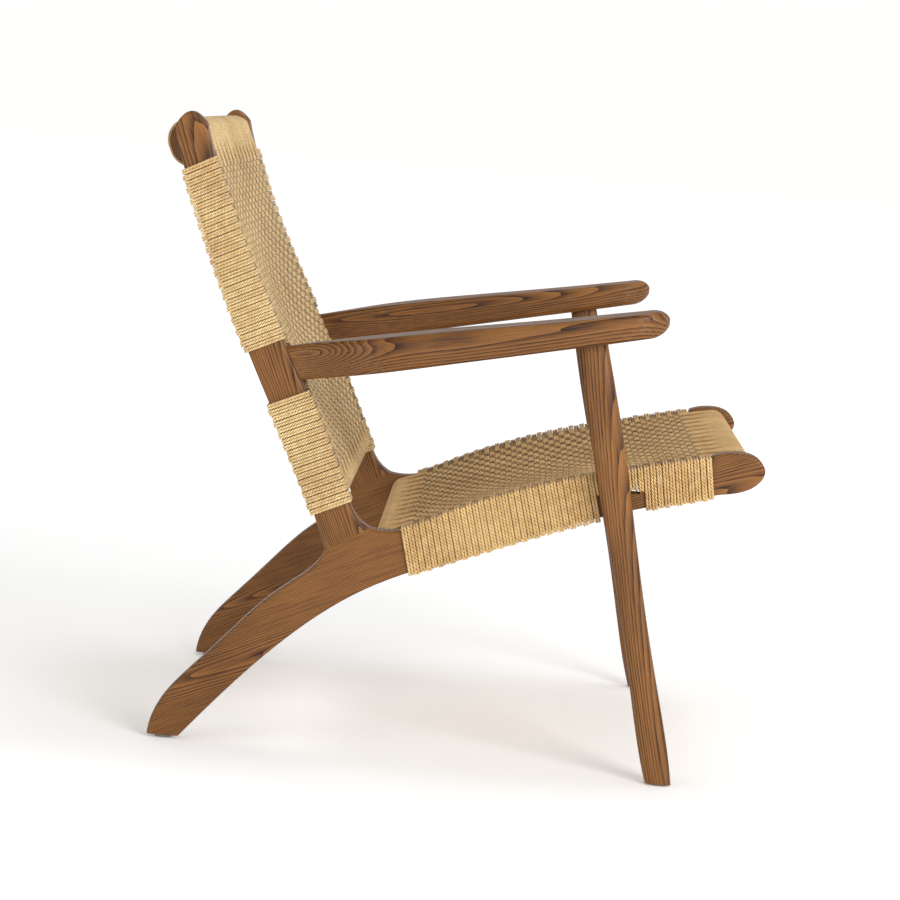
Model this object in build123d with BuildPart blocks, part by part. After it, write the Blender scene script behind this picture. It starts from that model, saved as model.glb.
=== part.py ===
from build123d import *
import os
from math import cos, sin, radians

# Low easy chair: a sawn wooden frame strung with twisted paper cord.
# +Z is up, the front is -Y, and the origin is on the floor under the middle of the chair.
# "right" is the sitter's right hand, which is -X.

# Overall sizes. The side outlines below are drawn for the two drawn sizes and follow the real ones.
OVERALL_DEPTH = 720.0
OVERALL_HEIGHT = 730.0
FRAME_WIDTH = 600.0
DRAWN_DEPTH = 720.0
DRAWN_HEIGHT = 730.0

# Wood
PLANK = 28.0            # thickness of the side rails and the back stiles
EDGE_ROUND = 3.5        # rounding along the sawn edges
ARM_SPREAD = 57.0       # how far an arm stands out past the side frame
ARM_EDGE_ROUND = 7.0
LEG_THICKNESS = 32.0    # front leg across the chair, where it lies on the rail
FOOT_THICKNESS = 27.0
LEG_CORNER = 10.0

# Cross rails: section along and across its own slant, and its corner
TOP_RAIL = (49.0, 45.0, 21.0)
BOTTOM_RAIL = (34.0, 36.0, 14.0)
SEAT_RAIL = (38.0, 34.0, 14.0)

# Joinery
TENON_THICKNESS = 10.0
TENON_WIDTH = 34.0
TENON_LENGTH = 26.0
ARM_TENON = 12.0
ARM_TENON_HEIGHT = 20.0
ARM_TENON_LENGTH = 18.0
ROUND_TENON = 20.0
ROUND_TENON_LENGTH = 18.0
LEG_TENON = 18.0
LEG_TENON_LENGTH = 17.0
JOINT_GAP = 0.15        # glue line all round a tenon

# Hardware
SCREW_SHANK = 5.0
SCREW_HEAD = 10.0
SCREW_HEAD_HEIGHT = 3.0
SCREW_LENGTH = 44.0
SCREW_GAP = 0.15
NAIL = 1.6
NAIL_GAP = 0.1
NAIL_IN_WOOD = 7.0
NAIL_OUT = 3.6
NAIL_HOOK = 5.0
NAIL_PITCH = 21.0
NAIL_DEPTH = 14.0       # how far the nails stand inside a member's woven edge
REAR_GLIDE = 4.0        # how far a glide stands out under the foot
FRONT_GLIDE = 1.6
GLIDE_DIAMETER = 19.0
GLIDE_PIN = 3.0
GLIDE_PIN_LENGTH = 12.0

# Cord
CORD = 3.5
CORD_GAP = 0.4
SEAT_SAG = 14.0
BACK_SAG = 10.0
SLOT_HEIGHT = 9.0
SLOT_REAR, SLOT_FRONT = -203.0, -218.0

outer = FRAME_WIDTH / 2
inner = outer - PLANK
middle = outer - PLANK / 2


def at(y, z):
    """A point of the side outline, drawn size to real size."""
    return (y * OVERALL_DEPTH / DRAWN_DEPTH, z * OVERALL_HEIGHT / DRAWN_HEIGHT)


def side_plane(x):
    """A plane across the chair: its X runs to the rear, its Y runs up, its normal is +X."""
    return Plane(origin=(x, 0, 0), x_dir=(0, 1, 0), z_dir=(1, 0, 0))


def slant(degrees):
    """Unit direction in the side plane."""
    return Vector(cos(radians(degrees)), sin(radians(degrees)))


def moved(edge, t, distance):
    """The point at t along an edge, pushed off it to the left of its direction."""
    tangent = edge % t
    point = edge @ t
    return (point.X - tangent.Y * distance, point.Y + tangent.X * distance)


def beside(edge, start, end, distance, count=17):
    """Points that follow an edge at a distance."""
    return [moved(edge, start + (end - start) * i / (count - 1), distance) for i in range(count)]


def turned(direction, degrees):
    """A direction in the side plane, turned by a few degrees."""
    return direction.rotate(Axis.Z, degrees)


def where(edge, wanted, measure):
    """How far along an edge, 0 to 1, a measure of its points passes a wanted value."""
    low, high = 0.0, 1.0
    rising = measure(edge @ high) > measure(edge @ low)
    for _ in range(40):
        t = (low + high) / 2
        if (measure(edge @ t) < wanted) == rising:
            low = t
        else:
            high = t
    return (low + high) / 2


def where_y(edge, y):
    """How far along an edge it passes the given y."""
    return where(edge, y, lambda point: point.X)


def where_z(edge, z):
    """How far along an edge it passes the given height."""
    return where(edge, z, lambda point: point.Y)


# ---------------------------------------------------------------- side outlines
MEETING_ANGLE = 1.0                # the stile's rounded top meets its edges at this slight turn, in degrees
JOINT_REAR = at(140.8, 237.6)      # the stile stands on the rail along this straight line
JOINT_FRONT = at(90.0, 267.0)
NOSE_STEP = 4.0                    # the bare nose of the rail is level with the cord behind it

FOOT_FRONT = (at(294, 0)[0], REAR_GLIDE)
FOOT_REAR = (at(331, 0)[0], REAR_GLIDE)

rail_under = Spline(
    FOOT_FRONT, at(242, 64), at(176, 131), at(85, 198), at(4, 234.5),
    at(-82, 269), at(-222, 317.5), at(-311, 341),
)
rail_nose = Spline(
    at(-311, 341), at(-336, 346.5), at(-354, 358), at(-360, 371), at(-353, 384), at(-335, 391), at(-299, 385),
)
nose_foot = (at(-299, 0)[0], at(0, 385)[1] - NOSE_STEP)
rail_top = Spline(
    nose_foot, at(-217, 361.8), at(-113, 334), at(-48, 311), at(8, 286.5), at(54, 267.5), at(72, 265.3),
    JOINT_FRONT,
)
leg_top = Spline(
    JOINT_REAR, at(143.5, 230), at(154, 215.5), at(189, 187), at(246, 129), at(275, 97), at(305, 64),
    at(318, 46), at(327, 26), FOOT_REAR,
)
stile_rear = Spline(
    JOINT_REAR, at(150.5, 264), at(216, 398.5), at(245, 456), at(287, 545), at(325, 636), at(344, 688),
    at(349, 708),
)
stile_front = Spline(
    at(310, 703), at(207, 475), at(176, 418), at(118, 298), at(108, 281), JOINT_FRONT,
)
stile_cap = Spline(
    at(349, 708), at(345, 721), at(331, 730), at(316, 720), at(310, 703),
    tangents=[turned(stile_rear % 1, MEETING_ANGLE), turned(stile_front % 0, MEETING_ANGLE)],
)
foot_line = Line(FOOT_REAR, FOOT_FRONT)
joint_line = Line(JOINT_FRONT, JOINT_REAR)

# Arm: a straight underside, a slightly crowned top, and a plan that widens away from the stile
arm_under = Line(at(215, 425.4), at(-234, 521.8))
arm_top = Spline(at(-234, 551.5), at(-60, 519.5), at(90, 493), at(215, 466))
ARM_FLARE = 0.42                   # share of the spread that is reached half way round the flare
arm_outside = Spline(
    at(215, 0), at(190, 0), (at(148, 0)[0], ARM_FLARE * ARM_SPREAD), (at(100, 0)[0], ARM_SPREAD - 5),
    (at(30, 0)[0], ARM_SPREAD), (at(-90, 0)[0], ARM_SPREAD - 1), (at(-234, 0)[0], ARM_SPREAD - 7),
)
arm_inside = Spline(
    at(215, 0), at(190, 0), (at(140, 0)[0], 3), (at(40, 0)[0], 9), (at(-90, 0)[0], 12), (at(-234, 0)[0], 14),
)
ARM_TIP = at(-234, 0)[0]
ARM_TIP_ROUND = 42.0               # length of the rounded tip, seen from above
ARM_NOSE_ROUND = 20.0              # length of the rounded nose, seen from the side
ARM_STATIONS = [at(y, 0)[0] for y in (215, 190, 165, 140, 110, 70, 10, -60, -130)]
ARM_STATIONS += [ARM_TIP + ARM_TIP_ROUND * (1 - cos(radians(a))) for a in (90, 72, 54, 40, 28, 18, 10)]
arm_direction = (arm_under % 0).normalized()

# Front leg: the foot's place, how far the leg leans back for each mm of height, and its sections
# as height drawn, width seen from the side, and depth across the chair
FRONT_FOOT = at(-268, 0)[0]
LEG_LEAN = 0.2375
LEG_SECTIONS = (
    (0.0, 30.0, FOOT_THICKNESS),
    (140.0, 31.0, FOOT_THICKNESS + 2.5),
    (280.0, 33.5, LEG_THICKNESS),
    (350.0, 37.5, LEG_THICKNESS),
    (420.0, 38.5, LEG_THICKNESS),
    (512.0, 34.5, LEG_THICKNESS - 3),
)
leg_middle = outer + LEG_THICKNESS / 2
LEG_TOP = (FRONT_FOOT + LEG_LEAN * at(0, 503.2)[1], at(0, 503.2)[1])
SCREW_PLACES = (at(-184, 345), at(-189.5, 322))

# Cross rails: middle of the section and the slant of its first side
TOP_RAIL_AT, TOP_RAIL_SLANT = at(333.0, 694.0), 66.0
BOTTOM_RAIL_AT, BOTTOM_RAIL_SLANT = at(143.5, 307.0), 64.0
FRONT_RAIL_AT, FRONT_RAIL_SLANT = at(-326.0, 366.0), 164.0
REAR_RAIL_AT, REAR_RAIL_SLANT = at(62.5, 245.0), 158.0

# Cord stretches along the side frame, as drawn
RAIL_WRAP_REAR = at(54, 0)[0]
RAIL_WRAP_LEG_REAR = at(-163, 0)[0]
RAIL_WRAP_LEG_FRONT = at(-219.5, 0)[0]
RAIL_WRAP_FRONT = at(-297.5, 0)[0]
STILE_WRAP_TOP = at(0, 672)[1]
STILE_WRAP_ARM_TOP = at(0, 468)[1]
STILE_WRAP_ARM_BOTTOM = at(0, 411)[1]
STILE_WRAP_BOTTOM = at(0, 286)[1]

os.makedirs("parts", exist_ok=True)


def save(piece, name):
    """Label one finished piece and write it."""
    piece.part.label = name
    export_step(piece.part, "parts/" + name + ".step")


def save_pair(piece, name):
    """Write a right-hand piece and its mirror image."""
    save(piece, "right_" + name)
    with BuildPart() as other:
        add(mirror(piece.part, about=Plane.YZ))
    save(other, "left_" + name)


def nail_places(edge, start, end, depth):
    """Nails along an edge, a set depth inside it."""
    count = int(edge.length * abs(end - start) / NAIL_PITCH)
    return beside(edge, start, end, depth, count + 1)


# ---------------------------------------------------------------- nails, shared by their holes
rail_woven = (where_y(rail_top, RAIL_WRAP_FRONT), where_y(rail_top, RAIL_WRAP_REAR))
rail_nails = nail_places(rail_top, *rail_woven, -NAIL_DEPTH)
stile_woven = (where_z(stile_front, STILE_WRAP_TOP), where_z(stile_front, STILE_WRAP_BOTTOM))
stile_nails = nail_places(stile_front, *stile_woven, NAIL_DEPTH)


def clear_of(places, centre, section):
    """Leave out the places that a cross rail's end covers."""
    reach = max(section[:2]) / 2 + NAIL_HOOK
    return [p for p in places if (Vector(*p) - Vector(*centre)).length > reach]


rail_nails = clear_of(rail_nails, REAR_RAIL_AT, SEAT_RAIL)
stile_nails = clear_of(stile_nails, BOTTOM_RAIL_AT, BOTTOM_RAIL)
stile_nails = clear_of(stile_nails, TOP_RAIL_AT, TOP_RAIL)

# ---------------------------------------------------------------- side rail with its rear leg
tenon_middle = joint_line @ 0.5
tenon_down = Vector(-(joint_line % 0.5).Y, (joint_line % 0.5).X)
if tenon_down.Y > 0:
    tenon_down = tenon_down * -1


def tenon_plane(x):
    """A plane on the joint between rail and stile, its normal down into the rail."""
    origin = (x, tenon_middle.X, tenon_middle.Y)
    return Plane(origin=origin, x_dir=(1, 0, 0), z_dir=(0, tenon_down.X, tenon_down.Y))


with BuildPart() as side_rail:
    with BuildSketch(side_plane(-outer)):
        with BuildLine():
            add(rail_under)
            add(rail_nose)
            Line(rail_nose @ 1, nose_foot)
            add(rail_top)
            add(joint_line)
            add(leg_top)
            add(foot_line)
        make_face()
    extrude(amount=PLANK)
    long_edges = side_rail.faces().filter_by(Axis.X).edges()
    rounded = [e for e in long_edges if e.length > 60 and abs(e.center().Z - tenon_middle.Y) > 20]
    fillet(rounded, EDGE_ROUND)
    with BuildSketch(tenon_plane(-middle)):
        Rectangle(TENON_THICKNESS + 2 * JOINT_GAP, TENON_WIDTH + 2 * JOINT_GAP)
    extrude(amount=TENON_LENGTH + 1, mode=Mode.SUBTRACT)
    for place in (FRONT_RAIL_AT, REAR_RAIL_AT):
        with BuildSketch(Plane(origin=(-inner, place[0], place[1]), z_dir=(-1, 0, 0))):
            Circle(ROUND_TENON / 2 + JOINT_GAP)
        extrude(amount=ROUND_TENON_LENGTH + 1, mode=Mode.SUBTRACT)
    for place in SCREW_PLACES:
        with BuildSketch(Plane(origin=(-inner, place[0], place[1]), z_dir=(-1, 0, 0))):
            Circle(SCREW_SHANK / 2 + SCREW_GAP)
        extrude(amount=PLANK, mode=Mode.SUBTRACT)
        with BuildSketch(Plane(origin=(-inner, place[0], place[1]), z_dir=(-1, 0, 0))):
            Circle(SCREW_HEAD / 2 + SCREW_GAP)
        extrude(amount=SCREW_HEAD_HEIGHT + SCREW_GAP, mode=Mode.SUBTRACT)
    for place in rail_nails:
        with BuildSketch(Plane(origin=(-inner, place[0], place[1]), z_dir=(-1, 0, 0))):
            Circle(NAIL / 2 + NAIL_GAP)
        extrude(amount=NAIL_IN_WOOD + NAIL_GAP, mode=Mode.SUBTRACT)
    slot_middle = at((SLOT_REAR + SLOT_FRONT) / 2, 338.5)
    with BuildSketch(Plane(origin=(-outer, slot_middle[0], slot_middle[1]), x_dir=(0, 1, 0), z_dir=(1, 0, 0))):
        Rectangle(SLOT_REAR - SLOT_FRONT, SLOT_HEIGHT)
    extrude(amount=PLANK, mode=Mode.SUBTRACT)
    glide_place = (-middle, at(312.5, 0)[0])
    with BuildSketch(Plane(origin=(glide_place[0], glide_place[1], REAR_GLIDE))):
        Circle(GLIDE_PIN / 2 + NAIL_GAP)
    extrude(amount=GLIDE_PIN_LENGTH + NAIL_GAP, mode=Mode.SUBTRACT)
save_pair(side_rail, "side_rail_and_rear_leg")

# ---------------------------------------------------------------- back stile
arm_tenon_middle = stile_front @ where_z(stile_front, at(0, 449)[1])


def arm_tenon_plane(x):
    """A plane on the stile's front edge, its normal rearward along the arm."""
    back = arm_direction * -1 if arm_direction.X < 0 else arm_direction
    origin = (x, arm_tenon_middle.X, arm_tenon_middle.Y)
    return Plane(origin=origin, x_dir=(1, 0, 0), z_dir=(0, back.X, back.Y))


with BuildPart() as back_stile:
    with BuildSketch(side_plane(-outer)):
        with BuildLine():
            add(stile_rear)
            add(stile_cap)
            add(stile_front)
            add(joint_line)
        make_face()
    extrude(amount=PLANK)
    long_edges = back_stile.faces().filter_by(Axis.X).edges()
    rounded = [e for e in long_edges if e.center().Z > (joint_line @ 0).Y + 20]
    fillet(rounded, EDGE_ROUND)
    with BuildSketch(tenon_plane(-middle)):
        Rectangle(TENON_THICKNESS, TENON_WIDTH)
    extrude(amount=TENON_LENGTH)
    with BuildSketch(arm_tenon_plane(-middle)):
        Rectangle(ARM_TENON + 2 * JOINT_GAP, ARM_TENON_HEIGHT + 2 * JOINT_GAP)
    extrude(amount=ARM_TENON_LENGTH + 1, mode=Mode.SUBTRACT)
    with BuildSketch(arm_tenon_plane(-middle)):
        Rectangle(ARM_TENON + 2 * JOINT_GAP, ARM_TENON_HEIGHT + 2 * JOINT_GAP)
    extrude(amount=-EDGE_ROUND, mode=Mode.SUBTRACT)
    for place in (TOP_RAIL_AT, BOTTOM_RAIL_AT):
        with BuildSketch(Plane(origin=(-inner, place[0], place[1]), z_dir=(-1, 0, 0))):
            Circle(ROUND_TENON / 2 + JOINT_GAP)
        extrude(amount=ROUND_TENON_LENGTH + 1, mode=Mode.SUBTRACT)
    for place in stile_nails:
        with BuildSketch(Plane(origin=(-inner, place[0], place[1]), z_dir=(-1, 0, 0))):
            Circle(NAIL / 2 + NAIL_GAP)
        extrude(amount=NAIL_IN_WOOD + NAIL_GAP, mode=Mode.SUBTRACT)
save_pair(back_stile, "back_stile")

# ---------------------------------------------------------------- arm


def roundness(from_tip, length):
    """Share of the full width that a rounded end has at a distance from its tip."""
    if from_tip >= length:
        return 1.0
    return (1 - (1 - from_tip / length) ** 2) ** 0.5


with BuildPart() as arm:
    for y in ARM_STATIONS:
        from_tip = max(y - ARM_TIP, 0.4)
        far = outer + (arm_outside @ where_y(arm_outside, y)).Y
        near = inner + (arm_inside @ where_y(arm_inside, y)).Y
        high = (arm_top @ where_y(arm_top, y)).Y
        low = (arm_under @ where_y(arm_under, y)).Y
        width = (far - near) * roundness(from_tip, ARM_TIP_ROUND)
        thickness = (high - low) * roundness(from_tip, ARM_NOSE_ROUND)
        section = Plane(origin=(-(far + near) / 2, y, (high + low) / 2), x_dir=(1, 0, 0), z_dir=(0, -1, 0))
        with BuildSketch(section):
            RectangleRounded(width, thickness, min(ARM_EDGE_ROUND, 0.46 * thickness, 0.46 * width))
    loft()
    with BuildSketch(side_plane(-outer - 2 * ARM_SPREAD)):
        with BuildLine():
            add(stile_rear)
            add(stile_cap)
            add(stile_front)
            add(joint_line)
        make_face()
    extrude(amount=3 * ARM_SPREAD + PLANK, mode=Mode.SUBTRACT)
    ahead = arm.solids().sort_by(Axis.Y)[0]
    add(ahead, mode=Mode.REPLACE)
    with BuildSketch(arm_tenon_plane(-middle)):
        Rectangle(ARM_TENON, ARM_TENON_HEIGHT)
    extrude(amount=ARM_TENON_LENGTH)
    with BuildSketch(arm_tenon_plane(-middle)):
        Rectangle(ARM_TENON, ARM_TENON_HEIGHT)
    extrude(amount=-ARM_TENON_LENGTH)
    with BuildSketch(Plane(origin=(-leg_middle, LEG_TOP[0], LEG_TOP[1] - LEG_TENON_LENGTH))):
        Circle(LEG_TENON / 2 + JOINT_GAP)
    extrude(amount=2 * LEG_TENON_LENGTH + 1, mode=Mode.SUBTRACT)
save_pair(arm, "arm")

# ---------------------------------------------------------------- front leg
with BuildPart() as front_leg:
    for height, width, depth in LEG_SECTIONS:
        z = at(0, height)[1]
        with BuildSketch(Plane(origin=(-leg_middle, FRONT_FOOT + LEG_LEAN * z, z))):
            RectangleRounded(depth, width, LEG_CORNER)
    loft()
    split(bisect_by=Plane.YZ.offset(-outer), keep=Keep.BOTTOM)
    split(bisect_by=Plane.XY.offset(FRONT_GLIDE), keep=Keep.TOP)
    add(arm.part, mode=Mode.SUBTRACT)
    below = front_leg.solids().sort_by(Axis.Z)[0]
    add(below, mode=Mode.REPLACE)
    with BuildSketch(Plane(origin=(-leg_middle, LEG_TOP[0], LEG_TOP[1] - LEG_TENON_LENGTH))):
        Circle(LEG_TENON / 2)
    extrude(amount=2 * LEG_TENON_LENGTH)
    for place in SCREW_PLACES:
        with BuildSketch(Plane(origin=(-inner, place[0], place[1]), z_dir=(-1, 0, 0))):
            Circle(SCREW_SHANK / 2 + SCREW_GAP)
        extrude(amount=SCREW_LENGTH + SCREW_GAP, mode=Mode.SUBTRACT)
    with BuildSketch(Plane(origin=(-leg_middle, FRONT_FOOT, FRONT_GLIDE))):
        Circle(GLIDE_PIN / 2 + NAIL_GAP)
    extrude(amount=GLIDE_PIN_LENGTH + NAIL_GAP, mode=Mode.SUBTRACT)
save_pair(front_leg, "front_leg")


# ---------------------------------------------------------------- cross rails and their cord
def section_plane(x, place, angle):
    """A plane across a cross rail, its X along the section's first side."""
    tilt = slant(angle)
    return Plane(origin=(x, place[0], place[1]), x_dir=(0, tilt.X, tilt.Y), z_dir=(1, 0, 0))


def cross_rail(name, place, angle, section):
    """A cross rail between the side frames, with a round tenon at each end."""
    with BuildPart() as rail:
        with BuildSketch(section_plane(-inner, place, angle)):
            RectangleRounded(*section)
        extrude(amount=2 * inner)
        with BuildSketch(section_plane(-inner - ROUND_TENON_LENGTH, place, angle)):
            Circle(ROUND_TENON / 2)
        extrude(amount=2 * (inner + ROUND_TENON_LENGTH))
    save(rail, name)


def cross_rail_cord(name, place, angle, section):
    """The cord laid side by side round a cross rail."""
    reach = inner - CORD_GAP
    with BuildPart() as cord:
        with BuildSketch(section_plane(-reach, place, angle)):
            grown = CORD + CORD_GAP
            RectangleRounded(section[0] + 2 * grown, section[1] + 2 * grown, section[2] + grown)
            RectangleRounded(section[0] + 2 * CORD_GAP, section[1] + 2 * CORD_GAP, section[2] + CORD_GAP,
                             mode=Mode.SUBTRACT)
        extrude(amount=2 * reach)
    save(cord, name)


CROSS_RAILS = (
    ("back_top", TOP_RAIL_AT, TOP_RAIL_SLANT, TOP_RAIL),
    ("back_bottom", BOTTOM_RAIL_AT, BOTTOM_RAIL_SLANT, BOTTOM_RAIL),
    ("seat_front", FRONT_RAIL_AT, FRONT_RAIL_SLANT, SEAT_RAIL),
    ("seat_rear", REAR_RAIL_AT, REAR_RAIL_SLANT, SEAT_RAIL),
)
for place_name, place, angle, section in CROSS_RAILS:
    cross_rail(place_name + "_rail", place, angle, section)
    cross_rail_cord(place_name + "_rail_cord", place, angle, section)


# ---------------------------------------------------------------- cord wound round the side frames
def run_beside(edge, ends, sink, run_on):
    """Points beside a stretch of an edge, run on straight past both its ends."""
    start, end, lean = ends
    points = [Vector(*p) for p in beside(edge, start, end, sink * lean)]
    if run_on > 0:
        points.insert(0, points[0] + (points[0] - points[1]).normalized() * run_on)
        points.append(points[-1] + (points[-1] - points[-2]).normalized() * run_on)
    return [(p.X, p.Y) for p in points]


def cord_sleeve(name, above, below, above_ends, below_ends):
    """Cord over the top, outside and underside of a side member, ending at the nails inside it."""
    grown = CORD + CORD_GAP
    with BuildPart() as sleeve:
        for sink, run_on, mode in ((grown, 0.0, Mode.ADD), (CORD_GAP, PLANK, Mode.SUBTRACT)):
            with BuildSketch(side_plane(-outer - sink)):
                with BuildLine():
                    upper = Spline(*run_beside(above, above_ends, sink, run_on))
                    lower = Spline(*run_beside(below, below_ends, sink, run_on))
                    Line(upper @ 1, lower @ 1)
                    Line(upper @ 0, lower @ 0)
                make_face()
            extrude(amount=PLANK + sink, mode=mode)
    save_pair(sleeve, name)


def stretch(edge, locate, start, end, lean):
    """Two places on an edge, and the way the cord lies off it."""
    return (locate(edge, start), locate(edge, end), lean)


RAIL_LEAN = 12.0        # the cords cross a side member square to it, so their underside sits further on
STILE_LEAN = 18.0
for name, start, end, lean in (
    ("seat_side_cord_rear", RAIL_WRAP_REAR, RAIL_WRAP_LEG_REAR, RAIL_LEAN),
    ("seat_side_cord_front", RAIL_WRAP_LEG_FRONT, RAIL_WRAP_FRONT, RAIL_LEAN / 2),
):
    cord_sleeve(
        name, rail_top, rail_under,
        stretch(rail_top, where_y, start, end, 1),
        stretch(rail_under, where_y, start - lean, end - lean, 1),
    )
for name, start, end in (
    ("back_side_cord_upper", STILE_WRAP_TOP, STILE_WRAP_ARM_TOP),
    ("back_side_cord_lower", STILE_WRAP_ARM_BOTTOM, STILE_WRAP_BOTTOM),
):
    cord_sleeve(
        name, stile_front, stile_rear,
        stretch(stile_front, where_z, start + STILE_LEAN / 2, end + STILE_LEAN / 2, -1),
        stretch(stile_rear, where_z, start - STILE_LEAN / 2, end - STILE_LEAN / 2, -1),
    )


# ---------------------------------------------------------------- woven seat and back
WEAVE = 2 * CORD        # one cord over another


def rail_face_point(place, angle, section, turn):
    """The point of a cross rail's cord where the weave leaves it."""
    out = slant(angle + turn) * (section[1] / 2 + CORD + CORD_GAP)
    return (place[0] + out.X, place[1] + out.Y)


def weave_sheet(name, edge, lean, ends, between, sag, rails):
    """A woven panel between the side frames, slack in the middle, cut back round its two cross rails."""
    count = 7
    reach = inner - CORD_GAP
    with BuildPart() as sheet:
        for x, drop in ((-reach, 0.0), (0.0, sag), (reach, 0.0)):
            profile = []
            for sink in (-CORD - CORD_GAP, CORD):
                line = [ends[0]]
                for i in range(count):
                    share = (i + 0.5) / count
                    t = between[0] + (between[1] - between[0]) * share
                    line.append(moved(edge, t, lean * (CORD + CORD_GAP - drop * sin(radians(180 * share)))))
                line.append(ends[1])
                profile.append(line)
            deep = Vector(*ends[0]) - Vector(*ends[1])
            down = Vector(-deep.Y, deep.X).normalized()
            if down.Y > 0:
                down = down * -1
            with BuildSketch(side_plane(x)):
                with BuildLine():
                    upper = Spline(*profile[0])
                    lower = Spline(*[(p[0] + down.X * WEAVE, p[1] + down.Y * WEAVE) for p in profile[1]])
                    Line(upper @ 0, lower @ 0)
                    Line(upper @ 1, lower @ 1)
                make_face()
        loft()
        for place, angle, section in rails:
            grown = CORD + 2 * CORD_GAP
            with BuildSketch(section_plane(-inner, place, angle)):
                RectangleRounded(section[0] + 2 * grown, section[1] + 2 * grown, section[2] + grown)
            extrude(amount=2 * inner, mode=Mode.SUBTRACT)
        widest = sheet.solids().sort_by(SortBy.VOLUME)[-1]
        add(widest, mode=Mode.REPLACE)
    save(sheet, name)


weave_sheet(
    "seat_weave", rail_top, 1,
    (rail_face_point(FRONT_RAIL_AT, FRONT_RAIL_SLANT, SEAT_RAIL, -90),
     rail_face_point(REAR_RAIL_AT, REAR_RAIL_SLANT, SEAT_RAIL, -90)),
    rail_woven, SEAT_SAG,
    ((FRONT_RAIL_AT, FRONT_RAIL_SLANT, SEAT_RAIL), (REAR_RAIL_AT, REAR_RAIL_SLANT, SEAT_RAIL)),
)
weave_sheet(
    "back_weave", stile_front, -1,
    (rail_face_point(TOP_RAIL_AT, TOP_RAIL_SLANT, TOP_RAIL, 90),
     rail_face_point(BOTTOM_RAIL_AT, BOTTOM_RAIL_SLANT, BOTTOM_RAIL, 90)),
    (stile_woven[0], where_z(stile_front, STILE_WRAP_BOTTOM + 2 * STILE_LEAN)), BACK_SAG,
    ((TOP_RAIL_AT, TOP_RAIL_SLANT, TOP_RAIL), (BOTTOM_RAIL_AT, BOTTOM_RAIL_SLANT, BOTTOM_RAIL)),
)

# ---------------------------------------------------------------- hardware
with BuildPart() as leg_screws:
    for place in SCREW_PLACES:
        with BuildSketch(Plane(origin=(-inner, place[0], place[1]), z_dir=(-1, 0, 0))):
            Circle(SCREW_SHANK / 2)
        extrude(amount=SCREW_LENGTH)
        with BuildSketch(Plane(origin=(-inner, place[0], place[1]), z_dir=(-1, 0, 0))):
            Circle(SCREW_HEAD / 2)
        extrude(amount=SCREW_HEAD_HEIGHT)
save_pair(leg_screws, "leg_screws")


def cord_nails(name, places):
    """L-shaped nails driven into the inner face of a side member, their hooks holding the cord's turns."""
    with BuildPart() as nails:
        for place in places:
            with BuildSketch(Plane(origin=(-inner + NAIL_OUT, place[0], place[1]), z_dir=(-1, 0, 0))):
                Circle(NAIL / 2)
            extrude(amount=NAIL_OUT + NAIL_IN_WOOD)
            with BuildSketch(Plane(origin=(-inner + NAIL_OUT - NAIL / 2, place[0], place[1]))):
                Circle(NAIL / 2)
            extrude(amount=-NAIL_HOOK)
    save_pair(nails, name)


cord_nails("seat_cord_nails", rail_nails)
cord_nails("back_cord_nails", stile_nails)


def glide(name, place, height):
    """A round glide on its pin, under the end of a leg."""
    with BuildPart() as button:
        with BuildSketch(Plane(origin=(place[0], place[1], 0))):
            Circle(GLIDE_DIAMETER / 2)
        extrude(amount=height)
        with BuildSketch(Plane(origin=(place[0], place[1], height))):
            Circle(GLIDE_PIN / 2)
        extrude(amount=GLIDE_PIN_LENGTH)
    save_pair(button, name)


glide("rear_glide", glide_place, REAR_GLIDE)
glide("front_glide", (-leg_middle, FRONT_FOOT), FRONT_GLIDE)
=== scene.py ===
import math
from collections import namedtuple

import bpy
import numpy as np
from mathutils import Matrix, Vector
from mathutils.bvhtree import BVHTree


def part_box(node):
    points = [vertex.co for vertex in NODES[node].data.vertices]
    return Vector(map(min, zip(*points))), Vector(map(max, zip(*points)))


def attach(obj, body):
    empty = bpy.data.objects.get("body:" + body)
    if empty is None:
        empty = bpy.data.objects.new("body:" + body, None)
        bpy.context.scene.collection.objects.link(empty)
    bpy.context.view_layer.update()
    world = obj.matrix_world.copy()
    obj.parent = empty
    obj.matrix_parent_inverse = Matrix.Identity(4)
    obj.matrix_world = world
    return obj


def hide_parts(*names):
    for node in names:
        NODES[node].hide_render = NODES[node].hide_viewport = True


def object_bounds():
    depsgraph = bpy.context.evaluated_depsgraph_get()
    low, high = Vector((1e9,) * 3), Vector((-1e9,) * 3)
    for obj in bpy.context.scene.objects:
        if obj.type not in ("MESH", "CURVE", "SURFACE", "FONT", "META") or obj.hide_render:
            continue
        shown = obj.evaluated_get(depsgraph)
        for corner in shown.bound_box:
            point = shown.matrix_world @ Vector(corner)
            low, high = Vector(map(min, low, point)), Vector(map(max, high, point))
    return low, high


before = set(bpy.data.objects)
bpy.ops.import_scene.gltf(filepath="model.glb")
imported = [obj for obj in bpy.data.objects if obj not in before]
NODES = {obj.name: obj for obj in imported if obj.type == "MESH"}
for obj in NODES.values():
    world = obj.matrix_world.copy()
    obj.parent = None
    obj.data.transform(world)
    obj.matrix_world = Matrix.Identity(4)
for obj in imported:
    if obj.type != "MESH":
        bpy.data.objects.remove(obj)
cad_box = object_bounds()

bl_info = {
    "name": "Paper cord easy chair",
    "version": (1, 0, 0),
    "blender": (4, 5, 0),
    "location": "3D View > Sidebar > Cord chair",
    "description": "Strings a wooden easy chair with twisted paper cord and finishes its wood",
    "category": "Object",
}

FACES_A_PIECE = 190000      # a hank of cord is cut into objects below this many triangles
CORD_SIDES = 6
TWIST_SHIFT = 0.0137        # how far the twist of each run is moved along it from the run before


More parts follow.
